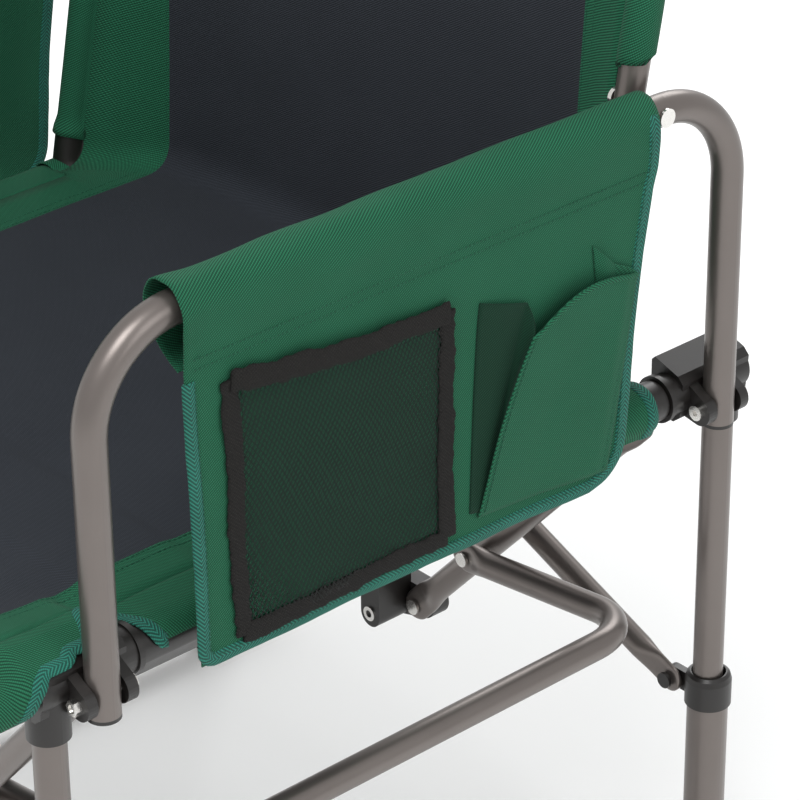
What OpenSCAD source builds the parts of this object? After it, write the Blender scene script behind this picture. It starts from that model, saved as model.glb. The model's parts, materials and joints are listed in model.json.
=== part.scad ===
// Camp rocking chair: two side frames on sprung floor rails, joined by folding links and fabric.
// X points to the sitter's left, Y to the back, Z up. The origin is on the floor under the middle
// of the whole chair, pockets included, so the seat's own centre plane lies a little to the right.

/* [Frame] */
// Distance between the centre planes of the two arm tubes
arm_spacing = 600; // [560:1:640]
// Front-to-back distance between the legs of one arm tube
leg_spacing = 532; // [520:1:560]
// Outer diameter of the arm tubes, seat rails and legs
tube_d = 22; // [20:0.5:24]
// Wall thickness of all tubes
wall = 1.5; // [1:0.1:2]
// Bend radius of the arm tubes
bend_r = 66; // [50:1:80]

/* [Heights] */
// Height of the arm tube centre line
arm_z = 708; // [680:1:730]
// Height of the seat rail centre line
rail_z = 476; // [468:1:484]
// Height of the top of the back uprights
back_top_z = 876; // [840:1:900]
// Height of the rocking pivots
pivot_z = 50; // [48:1:54]

/* [Seat] */
// How far the seat rails run forward of the front arm tube legs
seat_nose = 84; // [60:1:100]

/* [Back] */
// Rearward lean of the backrest in degrees
back_lean = 10.8; // [8:0.1:14]

/* [Folding links] */
// Height of the link rivets at the centre hubs
hub_z = 191; // [180:1:200]
// Diameter of the link and bail tubes
link_d = 20; // [18:0.5:20]
// Diameter of the rear brace tubes
brace_d = 18; // [16:0.5:18]

/* [Hidden] */
$fn = 48;
tube_r = tube_d / 2;
link_r = link_d / 2;
brace_r = brace_d / 2;
socket_r = tube_r + 0.05;
arm_x = arm_spacing / 2;
arm_y = leg_spacing / 2;
rail_x = arm_x - 23;
leg_x = rail_x;
leg_y = arm_y + 25;
nose_y = arm_y + seat_nose;
bolt_z = rail_z - 7;
arm_end_z = bolt_z - 13;
bolt_r = 3;
running = 0.05;

// Link geometry: the pin at the rail bracket and the rivet at the hub
link_pin = [arm_x - 46, rail_z - 31];
hub_pin = [24, hub_z];
link_y = arm_y - 28;
rear_bracket_y = link_y - 53;
front_bracket_y = link_y - 82;
link_span = link_pin - hub_pin;
link_len = norm(link_span);
link_angle = atan2(link_span[1], link_span[0]);
pin_r = 3.5;
tongue_t = 8;

// Bail geometry: a U-shaped tube hung from the links
bail_y = link_y - 21.5;
bail_up = 117;
bail_pin = hub_pin + bail_up * [cos(link_angle), sin(link_angle)];
bail_reach = [rail_x, rail_z - 176] - bail_pin;
bail_len = norm(bail_reach);
bail_angle = atan2(bail_reach[1], bail_reach[0]);
bail_bend = 40;

// Floor rails, rocking pivots and spring cylinders
floor_tube_z = 22;
floor_front_y = -312;
floor_back_y = 320;
cap_t = 5;
plug_t = 2;
length_shift = (nose_y + plug_t - floor_back_y - cap_t) / 2;
pivot_r = 4;
cheek_gap = 10.5;
cylinder_y = leg_y + 1;
cylinder_r = 15;
guide_r = 12.6;
cylinder_top_z = 229;
rod_end_z = 150;
spring_base_z = 71;

// Rear braces
brace_pin = [leg_x - 27, 215];
brace_rise = 103;
brace_len = norm([brace_pin[0], brace_rise]);
brace_angle = atan2(brace_rise, brace_pin[0]);
brace_gap = 10.5;
brace_tongue = 5;

// Backrest uprights
upright_x = rail_x;
upright_r = 10;
upright_arm_y = 195;
upright_foot_z = rail_z + 13;

// Fabric parts
sleeve_t = 2;
panel_x = arm_x + tube_r + sleeve_t + 0.2;
panel_t = 2.5;
pocket_t = 12;

// ---- Helpers ----

module rod_x(r, x0, x1) {
    translate([x0, 0, 0]) rotate([0, 90, 0]) cylinder(r = r, h = x1 - x0);
}

module rod_y(r, y0, y1) {
    translate([0, y0, 0]) rotate([-90, 0, 0]) cylinder(r = r, h = y1 - y0);
}

module rod_z(r, z0, z1) {
    translate([0, 0, z0]) cylinder(r = r, h = z1 - z0);
}

module pipe_y(r, y0, y1) {
    difference() {
        rod_y(r, y0, y1);
        rod_y(r - wall, y0 - 1, y1 + 1);
    }
}

module pipe_z(r, z0, z1) {
    difference() {
        rod_z(r, z0, z1);
        rod_z(r - wall, z0 - 1, z1 + 1);
    }
}

// A profile drawn in X and Z, extruded along Y from y0 to y1
module prism_y(y0, y1) {
    translate([0, y1, 0]) rotate([90, 0, 0]) linear_extrude(y1 - y0) children();
}

// A profile drawn in Y and Z, extruded along X from x0 to x1
module prism_x(x0, x1) {
    translate([x0, 0, 0]) rotate([90, 0, 90]) linear_extrude(x1 - x0) children();
}

// The same shape at the back and, mirrored, at the front
module front_and_back() {
    children();
    mirror([0, 1, 0]) children();
}

// side is 1 for the sitter's left and -1 for the right
module on_side(side) centred() {
    if (side > 0) children();
    else mirror([1, 0, 0]) children();
}

// Puts the seat's centre plane in its place in the chair's frame
module centred() translate([-pocket_t / 2, length_shift, 0]) children();

module steel() { color([0.53, 0.5, 0.48]) children(); }
module bright() { color([0.8, 0.8, 0.78]) children(); }
module plastic() { color([0.09, 0.09, 0.09]) children(); }
module green_cloth() { color([0.05, 0.32, 0.19]) children(); }
module dark_cloth() { color([0.16, 0.18, 0.2]) children(); }

// ---- Floor rails ----

module base_rail(side) steel() on_side(side)
    translate([leg_x, 0, floor_tube_z]) pipe_y(tube_r, floor_front_y, floor_back_y);

// Foot under one end of a floor rail, with a cap over the rail's end
module base_foot(end_y) difference() {
    union() {
        translate([leg_x, end_y, 0]) linear_extrude(15) hull() {
            translate([0, -44]) circle(r = 18, $fn = 32);
            translate([0, -13]) circle(r = 18, $fn = 32);
        }
        translate([leg_x, 0, floor_tube_z]) rod_y(tube_r + 2, end_y, end_y + cap_t);
    }
    translate([leg_x, 0, floor_tube_z]) rod_y(socket_r, end_y - 100, end_y);
}

module base_feet(side) plastic() on_side(side) {
    base_foot(floor_back_y);
    mirror([0, 1, 0]) base_foot(-floor_front_y);
}

module bracket_profile() {
    translate([-14, 0]) square([28, 34]);
    translate([0, 34]) circle(r = 14);
}

// Clevis that clips over the floor rail and carries a rocking pivot
module pivot_bracket(y) translate([leg_x, y, pivot_z - 34]) difference() {
    prism_x(-14, 14) bracket_profile();
    translate([0, 0, 40.5]) cube([2 * cheek_gap + 0.8, 40, 42], center = true);
    translate([0, 0, floor_tube_z - pivot_z + 34]) rod_y(socket_r, -20, 20);
    translate([0, 0, 34]) rod_x(pivot_r, -20, 20);
}

module pivot_brackets(side) plastic() on_side(side) {
    pivot_bracket(-leg_y);
    pivot_bracket(cylinder_y);
}

module pivot_pins(side) bright() on_side(side) for (y = [-leg_y, cylinder_y])
    translate([leg_x, y, pivot_z]) {
        rod_x(pivot_r, -14, 14);
        rod_x(pivot_r + 2.5, -16.5, -14);
        rod_x(pivot_r + 2.5, 14, 16.5);
    }

// ---- Spring cylinders ----

module spring_cylinder(side) steel() on_side(side) translate([leg_x, cylinder_y, 0]) {
    difference() {
        union() {
            translate([0, 0, pivot_z]) rod_x(13, -cheek_gap, cheek_gap);
            rod_z(cheek_gap, pivot_z, pivot_z + 15);
            rod_z(cylinder_r, pivot_z + 14.5, cylinder_top_z - 26);
        }
        rod_z(guide_r, spring_base_z, cylinder_top_z);
        translate([0, 0, pivot_z]) rod_x(pivot_r + running, -20, 20);
    }
}

// Moulded guide collar with a lug for the rear brace; its brace pin is a second solid
module cylinder_collar(side) on_side(side) {
    lug_y = leg_y - side * 4.4;
    plastic() difference() {
        union() {
            translate([leg_x, cylinder_y, 0]) rotate_extrude() polygon([
                [guide_r, cylinder_top_z - 26], [17, cylinder_top_z - 26],
                [17, cylinder_top_z - 6], [15.8, cylinder_top_z - 2],
                [13.6, cylinder_top_z], [guide_r, cylinder_top_z]
            ]);
            prism_y(lug_y - 3, lug_y + 3) difference() {
                hull() {
                    translate(brace_pin) circle(r = 8);
                    translate([leg_x - 15, brace_pin[1]]) circle(r = 8);
                }
                translate(brace_pin) circle(r = bolt_r);
            }
        }
        translate([leg_x, cylinder_y, 0]) rod_z(guide_r, 100, 300);
    }
    bright() translate([brace_pin[0], leg_y - side * brace_gap, brace_pin[1]])
        mirror([0, side > 0 ? 0 : 1, 0]) {
            rod_y(bolt_r, -5, 9.1);
            rod_y(6, -7.5, -5);
        }
}

// Ring of points of a coil's wire at one angle along the helix
coil_r = 9.4;
coil_wire_r = 1.6;
coil_turns = 7;
coil_steps = 20;
coil_sides = 8;
function coil_ring(i, height) =
    let (a = 360 * i / coil_steps, z = coil_wire_r + (height - 2 * coil_wire_r) * i
        / (coil_turns * coil_steps))
    [for (k = [0 : coil_sides - 1]) let (b = 360 * k / coil_sides, r = coil_r + coil_wire_r * cos(b))
        [r * cos(a), r * sin(a), z + coil_wire_r * sin(b)]];

module coil(height) {
    rings = coil_turns * coil_steps;
    points = [for (i = [0 : rings]) each coil_ring(i, height)];
    sides = [for (i = [0 : rings - 1], k = [0 : coil_sides - 1])
        let (a = i * coil_sides + k, b = i * coil_sides + (k + 1) % coil_sides)
        [a, a + coil_sides, b + coil_sides, b]];
    first = [for (k = [0 : coil_sides - 1]) k];
    last = [for (k = [coil_sides - 1 : -1 : 0]) rings * coil_sides + k];
    polyhedron(points, concat(sides, [first, last]));
}

module coil_spring(side) bright() on_side(side)
    translate([leg_x, cylinder_y, spring_base_z]) coil(rod_end_z - spring_base_z - 0.2);

// ---- Side frames ----

// Centre line of the arm tube thickened to radius r, its legs running on by extra
module arm_path(r, extra) {
    translate([arm_x, 0, arm_z]) rod_y(r, bend_r - arm_y, arm_y - bend_r);
    front_and_back() {
        translate([arm_x, arm_y, 0]) rod_z(r, arm_end_z - extra, arm_z - bend_r);
        translate([arm_x, arm_y - bend_r, arm_z - bend_r]) rotate([90, 0, 90])
            rotate_extrude(angle = 90) translate([bend_r, 0]) circle(r = r);
    }
}

module arm_tube(side) steel() on_side(side) difference() {
    arm_path(tube_r, 0);
    arm_path(tube_r - wall, 1);
    translate([arm_x, 0, bolt_z]) rod_y(bolt_r, -400, 400);
    translate([0, upright_arm_y, arm_z]) rod_x(bolt_r, 200, 400);
}

// Push-in plugs: two under the arm tube's legs and one in the seat rail's front end
module tube_plugs(side) plastic() on_side(side) {
    front_and_back() translate([arm_x, arm_y, 0]) {
        rod_z(tube_r, arm_end_z - 2.5, arm_end_z);
        rod_z(tube_r - wall, arm_end_z, arm_end_z + 8);
    }
    translate([rail_x, 0, rail_z]) {
        rod_y(tube_r, -nose_y - plug_t, -nose_y);
        rod_y(tube_r - wall, -nose_y, -nose_y + 10);
    }
}

module seat_rail(side) steel() on_side(side)
    translate([rail_x, 0, rail_z]) pipe_y(tube_r, -nose_y, arm_y + 17);

module ear(y0, y1) prism_y(y0, y1) hull() {
    translate([arm_x, bolt_z]) circle(r = 10.5, $fn = 32);
    translate([rail_x + 2, rail_z]) circle(r = 14, $fn = 32);
}

// Moulded corner joint: rail socket, leg socket and two ears round the arm tube.
// bore_end is how far along the rail socket runs
module seat_joint(bore_end) difference() {
    union() {
        translate([rail_x, 0, rail_z]) rod_y(15.5, arm_y - 37, leg_y + 14);
        translate([rail_x, 0, rail_z]) rod_y(17, arm_y - 38, arm_y - 34);
        prism_y(arm_y - 26, leg_y + 14) polygon([
            [rail_x - 16, rail_z - 14], [rail_x - 16, rail_z + 21], [rail_x - 13, rail_z + 24],
            [rail_x + 9, rail_z + 17], [rail_x + 14, rail_z + 12], [rail_x + 12, rail_z - 14],
            [rail_x + 6, rail_z - 19], [rail_x - 10, rail_z - 19]
        ]);
        translate([leg_x, leg_y, 0]) rod_z(14.2, rail_z - 36, rail_z);
        ear(arm_y - 19.5, arm_y - 11.4);
        ear(arm_y + 11.4, arm_y + 19);
    }
    translate([rail_x, 0, rail_z]) rod_y(socket_r, 0, bore_end);
    translate([leg_x, leg_y, 0]) rod_z(socket_r, 0, rail_z - 12);
    translate([arm_x, 0, bolt_z]) rod_y(bolt_r, 0, 400);
    translate([arm_x, arm_y, 0]) rod_z(tube_r + 0.3, 0, 600);
}

module seat_joints(side) plastic() on_side(side) {
    seat_joint(arm_y + 17);
    mirror([0, 1, 0]) seat_joint(leg_y + 40);
}

// M6 button bolt and nut through one joint
module joint_bolt() translate([arm_x, 0, bolt_z]) {
    difference() {
        union() {
            rod_y(bolt_r, arm_y - 19.5, arm_y + 23);
            rod_y(5.5, arm_y - 23, arm_y - 19.5);
        }
        translate([0, arm_y - 24, 0]) rotate([-90, 0, 0]) cylinder(r = 2.3, h = 2.8, $fn = 6);
    }
    translate([0, arm_y + 19, 0]) rotate([-90, 0, 0]) difference() {
        cylinder(r = 5.6, h = 5, $fn = 6);
        translate([0, 0, -1]) cylinder(r = bolt_r, h = 7);
    }
}

// Pin that holds a link's top end in a bracket that begins at depth start
module bracket_pin(start) translate([link_pin[0], 0, link_pin[1]]) {
    rod_y(pin_r, start, link_y + 4.3);
    rod_y(6, link_y + 4.3, link_y + 6.5);
    rod_y(6, start - 2, start);
}

module joint_bolts(side) bright() on_side(side) {
    front_and_back() joint_bolt();
    bracket_pin(rear_bracket_y);
    mirror([0, 1, 0]) bracket_pin(front_bracket_y);
}

// Sleeve on the seat rail with a lug that carries a link's top end
module link_bracket(start) difference() {
    union() {
        translate([rail_x, 0, rail_z]) rod_y(14.5, start, link_y - 11);
        prism_y(start, link_y - 11) hull() {
            translate(link_pin) circle(r = 9, $fn = 32);
            translate([rail_x - 3, rail_z - 5]) circle(r = 10, $fn = 32);
        }
    }
    translate([rail_x, 0, rail_z]) rod_y(socket_r, 0, 300);
    translate([link_pin[0], 0, link_pin[1]]) rod_y(pin_r, 0, 300);
}

module link_brackets(side) plastic() on_side(side) {
    link_bracket(rear_bracket_y);
    mirror([0, 1, 0]) link_bracket(front_bracket_y);
}

module front_leg(side) steel() on_side(side)
    translate([leg_x, -leg_y, 0]) pipe_z(tube_r, pivot_z + 16, rail_z - 12);

module front_foot(side) plastic() on_side(side) translate([leg_x, -leg_y, pivot_z]) {
    difference() {
        union() {
            rod_x(13, -cheek_gap, cheek_gap);
            rod_z(cheek_gap, 0, 16);
            rod_z(14, 14.5, 40);
        }
        rod_z(socket_r, 16, 50);
        rod_x(pivot_r + running, -20, 20);
    }
}

module piston_rod(side) steel() on_side(side)
    translate([leg_x, leg_y, 0]) pipe_z(tube_r, rod_end_z, rail_z - 12);

// Depth of an upright's centre line at height z
function upright_y(z) = upright_arm_y + (z - arm_z) * tan(back_lean);

module along_upright(z) translate([upright_x, upright_y(z), z]) rotate([-back_lean, 0, 0]) children();

module back_upright(side) steel() on_side(side) difference() {
    along_upright(upright_foot_z)
        pipe_z(upright_r, 0, (back_top_z - upright_foot_z) / cos(back_lean));
    translate([0, upright_y(arm_z), arm_z]) rod_x(bolt_r, 200, 400);
}

// Bolt through the arm tube and upright, and the upright's top cap
module upright_bolts(side) on_side(side) {
    bright() translate([0, upright_y(arm_z), arm_z]) {
        rod_x(bolt_r, upright_x - upright_r, arm_x + tube_r);
        rod_x(6.5, upright_x - upright_r - 3, upright_x - upright_r);
        rod_x(6.5, arm_x + tube_r, arm_x + tube_r + 1.6);
    }
    plastic() along_upright(back_top_z) rod_z(upright_r, 0.3, 4);
}

// Saddle that clamps the foot of the upright to the seat rail
module upright_foot(side) plastic() on_side(side) difference() {
    union() {
        translate([rail_x, 0, rail_z]) rod_y(14.5, upright_y(rail_z) - 15, upright_y(rail_z) + 15);
        along_upright(rail_z) rod_z(13, 0, 36);
    }
    translate([rail_x, 0, rail_z]) rod_y(socket_r, 0, 300);
    along_upright(upright_foot_z) rod_z(upright_r + 0.05, -0.2, 60);
}

module arm_sleeve(side) green_cloth() on_side(side) translate([arm_x, 0, arm_z]) difference() {
    rod_y(tube_r + sleeve_t, -192, 172);
    rod_y(socket_r, -200, 180);
}

// Fabric sleeve round the seat rail, behind and in front of the front joint
module seat_sleeve(side) green_cloth() on_side(side) translate([rail_x, 0, rail_z])
    difference() {
        union() {
            rod_y(tube_r + sleeve_t, 2 - front_bracket_y, upright_y(rail_z) - 17);
            rod_y(tube_r + sleeve_t, -nose_y, -leg_y - 16);
        }
        rod_y(socket_r, -400, 300);
    }

// Flat panel that hangs from the arm sleeve, rounded at its lower rear corner
module side_panel(side) green_cloth() on_side(side) prism_x(panel_x, panel_x + panel_t)
    polygon([[-203, 466], [118, 462], [143, 465], [157, 478], [180, 702], [-206, 702]]);

module mesh_pocket() dark_cloth() centred() prism_x(panel_x + panel_t + 0.1, panel_x + panel_t + 3)
    polygon([[-173, 474], [0, 475], [2, 644], [-180, 662]]);

module phone_pocket() green_cloth() centred()
    prism_x(panel_x + panel_t + 0.1, panel_x + panel_t + pocket_t)
    polygon([[16, 484], [137, 473], [163, 611], [124, 640], [28, 636]]);

// ---- Folding links ----

// A bar along +X from its first pin to its second, flattened to a drilled tongue at each end
module flat_bar(len, r, t, pin0, pin1, flat) difference() {
    union() {
        rod_x(r, flat, len - flat);
        for (x = [0, len]) translate([x, 0, 0]) rod_y(r, -t / 2, t / 2);
        for (x = [0, len - flat - 2]) translate([x, -t / 2, -r]) cube([flat + 2, t, 2 * r]);
    }
    rod_x(r - wall, flat + 3, len - flat - 3);
    rod_y(pin0, -20, 20);
    translate([len, 0, 0]) rod_y(pin1, -20, 20);
}

module links(side) steel() on_side(side) front_and_back() difference() {
    translate([hub_pin[0], link_y, hub_pin[1]]) rotate([0, -link_angle, 0])
        flat_bar(link_len, link_r, tongue_t, pin_r + running, pin_r + running, 20);
    translate([bail_pin[0], 0, bail_pin[1]]) rod_y(bolt_r, 0, 300);
}

module link_rivets(side) bright() on_side(side) front_and_back()
    translate([bail_pin[0], 0, bail_pin[1]]) {
        rod_y(bolt_r, bail_y - 5, link_y + 11);
        rod_y(5.5, bail_y - 7.5, bail_y - 5);
        rod_y(5.5, link_y + 10.2, link_y + 12);
    }

module hub_block() difference() {
    union() {
        prism_y(link_y + 4.3, link_y + 20) hull() {
            for (x = [-24, 24]) translate([x, hub_z]) circle(r = 13, $fn = 32);
            translate([0, hub_z - 6]) circle(r = 14, $fn = 32);
        }
        prism_y(link_y - 28, link_y + 5) {
            translate([-10.5, hub_z - 8]) square([21, 30]);
            translate([0, hub_z - 8]) circle(r = 10.5);
        }
    }
    for (x = [-24, 24]) translate([x, 0, hub_z]) rod_y(pin_r, 0, 300);
}

module hubs() plastic() centred() front_and_back() hub_block();

module hub_rivets() bright() centred() front_and_back() {
    for (x = [-24, 24]) translate([x, link_y, hub_z]) {
        rod_y(pin_r, -4.3, 20);
        rod_y(6, -6.8, -4.3);
        rod_y(6, 20, 22);
    }
    translate([0, link_y, hub_z - 7]) difference() {
        rod_y(6, -29.5, -28);
        rod_y(3, -30, 0);
    }
}

// Half of the bail's centre line, from one pin to the middle of the long side
module bail_half(r) {
    translate([0, bail_y, 0]) rod_x(r, 18, bail_len - bail_bend);
    translate([bail_len - bail_bend, bail_y - bail_bend, 0])
        rotate_extrude(angle = 90) translate([bail_bend, 0]) circle(r = r);
    translate([bail_len, 0, 0]) rod_y(r, 0, bail_y - bail_bend);
}

module bail(side) steel() on_side(side)
    translate([bail_pin[0], 0, bail_pin[1]]) rotate([0, -bail_angle, 0]) difference() {
        union() {
            front_and_back() bail_half(link_r);
            front_and_back() translate([0, bail_y, 0]) {
                rod_y(link_r, -4.9, 4.9);
                translate([0, -4.9, -link_r]) cube([20, 9.8, 2 * link_r]);
            }
        }
        difference() {
            front_and_back() bail_half(link_r - wall);
            translate([0, -300, -50]) cube([21, 600, 100]);
        }
        rod_y(bolt_r + running, -300, 300);
    }

// ---- Rear braces ----

module brace(side) steel() on_side(side)
    translate([brace_pin[0], leg_y - side * brace_gap, brace_pin[1]])
        rotate([0, 180 + brace_angle, 0])
            flat_bar(brace_len, brace_r, brace_tongue, bolt_r + running,
                side > 0 ? pivot_r : pivot_r + 0.5, 24);

// Rivet at the peak of the rear braces, held in the left one
module apex_rivet() bright() centred() translate([0, leg_y - brace_gap, brace_pin[1] + brace_rise]) {
    rod_y(pivot_r, -2.5, 2 * brace_gap - brace_tongue / 2 - 0.5);
    rod_y(pivot_r + 2.5, -5, -2.5);
}

// ---- Slings ----

module seat_sling() dark_cloth() centred()
    translate([19 - rail_x, -nose_y, rail_z + 9]) cube([2 * rail_x - 38, nose_y + 133, 3]);

module back_sling() dark_cloth() centred() translate([0, upright_y(rail_z + 26), rail_z + 26])
    rotate([-back_lean, 0, 0]) translate([-upright_x + 14, -1.5, 0])
        cube([2 * upright_x - 28, 3, (back_top_z - rail_z - 26) / cos(back_lean)]);

base_rail(1);  // base_rail_left
base_feet(1);  // base_feet_left
pivot_brackets(1);  // pivot_brackets_left
pivot_pins(1);  // pivot_pins_left
base_rail(-1);  // base_rail_right
base_feet(-1);  // base_feet_right
pivot_brackets(-1);  // pivot_brackets_right
pivot_pins(-1);  // pivot_pins_right
spring_cylinder(1);  // spring_cylinder_left
cylinder_collar(1);  // cylinder_collar_left
coil_spring(1);  // coil_spring_left
spring_cylinder(-1);  // spring_cylinder_right
cylinder_collar(-1);  // cylinder_collar_right
coil_spring(-1);  // coil_spring_right
arm_tube(1);  // arm_tube_left
tube_plugs(1);  // tube_plugs_left
seat_rail(1);  // seat_rail_left
seat_joints(1);  // seat_joints_left
joint_bolts(1);  // joint_bolts_left
link_brackets(1);  // link_brackets_left
front_leg(1);  // front_leg_left
front_foot(1);  // front_foot_left
piston_rod(1);  // piston_rod_left
back_upright(1);  // back_upright_left
upright_foot(1);  // upright_foot_left
upright_bolts(1);  // upright_bolts_left
arm_sleeve(1);  // arm_sleeve_left
seat_sleeve(1);  // seat_sleeve_left
side_panel(1);  // side_panel_left
mesh_pocket();
phone_pocket();
arm_tube(-1);  // arm_tube_right
tube_plugs(-1);  // tube_plugs_right
seat_rail(-1);  // seat_rail_right
seat_joints(-1);  // seat_joints_right
joint_bolts(-1);  // joint_bolts_right
link_brackets(-1);  // link_brackets_right
front_leg(-1);  // front_leg_right
front_foot(-1);  // front_foot_right
piston_rod(-1);  // piston_rod_right
back_upright(-1);  // back_upright_right
upright_foot(-1);  // upright_foot_right
upright_bolts(-1);  // upright_bolts_right
arm_sleeve(-1);  // arm_sleeve_right
seat_sleeve(-1);  // seat_sleeve_right
side_panel(-1);  // side_panel_right
links(1);  // links_left
link_rivets(1);  // link_rivets_left
links(-1);  // links_right
link_rivets(-1);  // link_rivets_right
hubs();
hub_rivets();
bail(1);  // bail_left
bail(-1);  // bail_right
brace(1);  // brace_left
brace(-1);  // brace_right
apex_rivet();
seat_sling();
back_sling();
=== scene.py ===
import json
import math

import bpy
from mathutils import Matrix, Vector, noise


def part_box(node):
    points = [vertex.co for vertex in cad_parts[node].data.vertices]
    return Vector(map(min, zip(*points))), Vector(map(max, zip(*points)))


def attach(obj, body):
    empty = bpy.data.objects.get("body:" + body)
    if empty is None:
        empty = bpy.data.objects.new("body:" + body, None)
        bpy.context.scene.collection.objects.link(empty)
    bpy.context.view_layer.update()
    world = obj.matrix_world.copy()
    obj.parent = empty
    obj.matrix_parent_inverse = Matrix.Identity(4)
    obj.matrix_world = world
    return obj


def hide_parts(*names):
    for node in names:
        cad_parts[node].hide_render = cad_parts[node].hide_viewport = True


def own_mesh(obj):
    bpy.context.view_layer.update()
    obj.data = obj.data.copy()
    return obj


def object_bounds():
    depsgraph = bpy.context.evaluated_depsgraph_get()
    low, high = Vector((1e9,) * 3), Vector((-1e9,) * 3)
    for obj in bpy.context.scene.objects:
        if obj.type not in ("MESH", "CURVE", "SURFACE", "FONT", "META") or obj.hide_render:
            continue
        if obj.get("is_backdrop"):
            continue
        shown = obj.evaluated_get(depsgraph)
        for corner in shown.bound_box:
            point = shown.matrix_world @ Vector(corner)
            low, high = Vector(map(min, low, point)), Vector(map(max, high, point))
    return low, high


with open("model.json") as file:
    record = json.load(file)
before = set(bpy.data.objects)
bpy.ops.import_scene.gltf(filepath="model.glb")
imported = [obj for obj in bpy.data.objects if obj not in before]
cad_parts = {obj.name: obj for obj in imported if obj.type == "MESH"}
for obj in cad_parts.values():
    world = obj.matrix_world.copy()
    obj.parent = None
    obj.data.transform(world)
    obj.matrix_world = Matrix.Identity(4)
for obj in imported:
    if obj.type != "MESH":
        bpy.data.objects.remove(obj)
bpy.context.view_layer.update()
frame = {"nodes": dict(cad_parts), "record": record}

# ---------------------------------------------------------------- measures
MM = 0.001
PINS = {j["name"]: Vector(j["pos_m"]) for j in frame["record"]["behaviour"]["joints"]}


def box(node):
    low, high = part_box(node)
    return Vector(low), Vector(high)


def middle(node):
    low, high = box(node)
    return (low + high) / 2


arm_low, arm_high = box("arm_tube_left")
TUBE_R = (arm_high.x - arm_low.x) / 2
CX = (middle("arm_tube_left").x + middle("arm_tube_right").x) / 2
Y0 = middle("arm_tube_left").y
ARM_X = middle("arm_tube_left").x - CX
ARM_Z = arm_high.z - TUBE_R
ARM_Y = (arm_high.y - arm_low.y) / 2 - TUBE_R
RAIL_X = middle("seat_rail_left").x - CX
RAIL_Z = middle("seat_rail_left").z
NOSE_Y = Y0 - box("seat_rail_left")[0].y
LINK_R = 10 * MM
LINK_Y = (box("links_left")[1].y - box("links_left")[0].y) / 2 - LINK_R
SEAT_BACK = box("seat_sling")[1].y - Y0
FOOT_TOP = box("upright_foot_left")[1].z
BACK_LOW, BACK_HIGH = box("back_sling")
BACK_LEAN = math.radians(10.8)
BACK_TOP = box("back_upright_left")[1].z
UPRIGHT_R = 10 * MM


def at(x, y, z):
    """A point given from the seat's own centre plane, the arm legs' mid-way and the floor."""
    return Vector((CX + x, Y0 + y, z))


def lerp(a, b, t):
    return a + (b - a) * t


def ease(t):
    t = min(max(t, 0.0), 1.0)
    return t * t * (3 - 2 * t)


def step_between(v, a, b):
    """0 below a, 1 above b, smooth between."""
    return ease((v - a) / (b - a))


# ---------------------------------------------------------------- camera
AZIMUTH, ELEVATION, ROLL = 48.23, 28.92, -0.485
CAMERA_OUT, CAMERA_AHEAD, CAMERA_ABOVE = 1.5017, 1.3667, 0.9847
LENS = 166.28


def place_camera():
    """The camera, placed from the left arm tube, looking down at it from the front left."""
    azimuth, elevation, roll = math.radians(AZIMUTH), math.radians(ELEVATION), math.radians(ROLL)
    forward = Vector((
        -math.sin(azimuth) * math.cos(elevation),
        math.cos(azimuth) * math.cos(elevation),
        -math.sin(elevation),
    ))
    right = Vector((math.cos(azimuth), math.sin(azimuth), 0))
    up = right.cross(forward)
    right = math.cos(roll) * right + math.sin(roll) * up
    up = right.cross(forward)
    data = bpy.data.cameras.new("camera")
    data.lens = LENS
    data.sensor_width = 36
    data.clip_end = 100
    data.dof.use_dof = False
    camera = bpy.data.objects.new("camera", data)
    bpy.context.scene.collection.objects.link(camera)
    place = at(ARM_X + CAMERA_OUT, -CAMERA_AHEAD, ARM_Z + CAMERA_ABOVE)
    matrix = Matrix((right, up, -forward)).transposed().to_4x4()
    matrix.translation = place
    camera.matrix_world = matrix
    bpy.context.scene.camera = camera


place_camera()


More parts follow.
